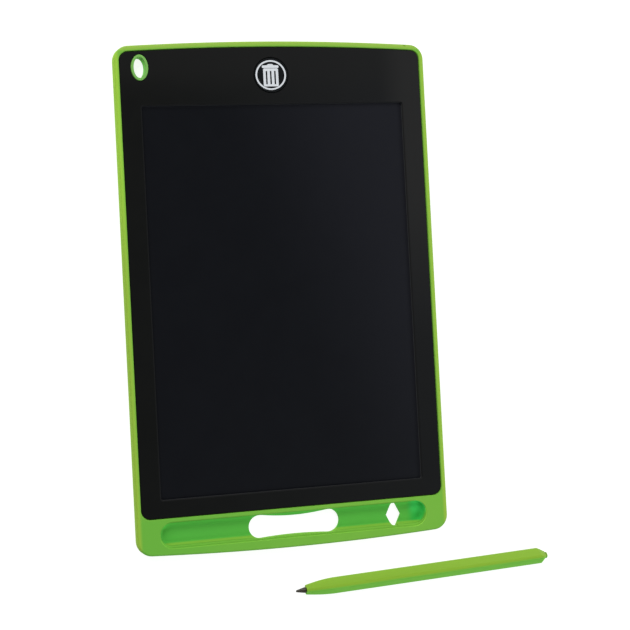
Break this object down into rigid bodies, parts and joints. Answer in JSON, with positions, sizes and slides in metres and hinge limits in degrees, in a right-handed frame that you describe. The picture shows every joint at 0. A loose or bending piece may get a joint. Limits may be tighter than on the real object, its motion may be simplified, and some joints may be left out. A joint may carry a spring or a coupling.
{
  "type": "lcd writing tablet",
  "caption": "Pressure-sensitive writing tablet with a round erase button, a lock slider and a battery door on its back, a lanyard eye, and a stylus that fits the tray along its lower edge.",
  "frame": {"origin": "centre of the tablet's flat back", "axes": "+X to the right seen from the screen side, +Y towards the erase button, +Z out of the screen"},
  "size_m": [0.1937, 0.2491, 0.0068],
  "materials": {
    "green_plastic": "moulded lime-green ABS with a fine satin grain",
    "black_plastic": "matte black ABS",
    "grey_plastic": "dark grey styrene sheet",
    "screen_film": "dark film with a faint bluish cast and a soft sheen",
    "flex_film": "amber polyimide film",
    "circuit_board": "green solder mask",
    "steel": "plated steel",
    "ivory_plastic": "ivory nylon",
    "chip_plastic": "moulded black epoxy",
    "ceramic_chip": "fired ceramic with tinned ends",
    "nib_plastic": "dark grey acetal"
  },
  "bodies": {
    "tablet": {"rear_housing": "green_plastic", "front_panel": "black_plastic", "support_plate": "grey_plastic", "lcd_rear_film": "screen_film", "lcd_front_film": "screen_film", "lcd_flex_tail": "flex_film", "main_board": "circuit_board", "board_screw_left": "steel", "board_screw_right": "steel", "tact_switch_case": "black_plastic", "driver_chip": "chip_plastic", "boost_inductor": "chip_plastic", "capacitor_upper": "ceramic_chip", "capacitor_lower": "ceramic_chip", "lock_switch_body": "ivory_plastic", "coin_cell": "steel", "battery_contact_negative": "steel", "battery_contact_positive": "steel"},
    "button": {"erase_button": "black_plastic"},
    "switch_plunger": {"tact_switch_plunger": "ivory_plastic"},
    "lock": {"lock_slider": "black_plastic"},
    "lock_actuator": {"lock_switch_actuator": "black_plastic"},
    "door": {"battery_door": "green_plastic", "battery_door_screw": "steel"},
    "stylus": {"pen_barrel": "green_plastic", "pen_nib": "nib_plastic", "pen_end_plug": "green_plastic"}
  },
  "joints": [
    {"name": "erase_button_press", "type": "slide", "parent": "tablet", "child": "button", "axis": [0, 0, -1], "range_m": [0, 0.00025], "stiffness_N_per_m": 4000},
    {"name": "switch_plunger_press", "type": "slide", "parent": "tablet", "child": "switch_plunger", "axis": [0, 0, -1], "range_m": [0, 0.00025]},
    {"name": "lock_slide", "type": "slide", "parent": "tablet", "child": "lock", "axis": [1, 0, 0], "range_m": [0, 0.002]},
    {"name": "lock_actuator_slide", "type": "slide", "parent": "tablet", "child": "lock_actuator", "axis": [1, 0, 0], "range_m": [0, 0.002]},
    {"name": "battery_door_hinge", "type": "hinge", "parent": "tablet", "child": "door", "pos_m": [0.0212, 0.0981, 0.00093], "axis": [0, 1, 0], "range_deg": [0, 12]},
    {"name": "stylus_lift", "type": "slide", "parent": "tablet", "child": "stylus", "axis": [0, 0, 1], "range_m": [0, 0.06]}
  ],
  "couplings": [
    {"joint": "switch_plunger_press", "follows": "erase_button_press", "ratio": 1},
    {"joint": "lock_actuator_slide", "follows": "lock_slide", "ratio": 1}
  ]
}
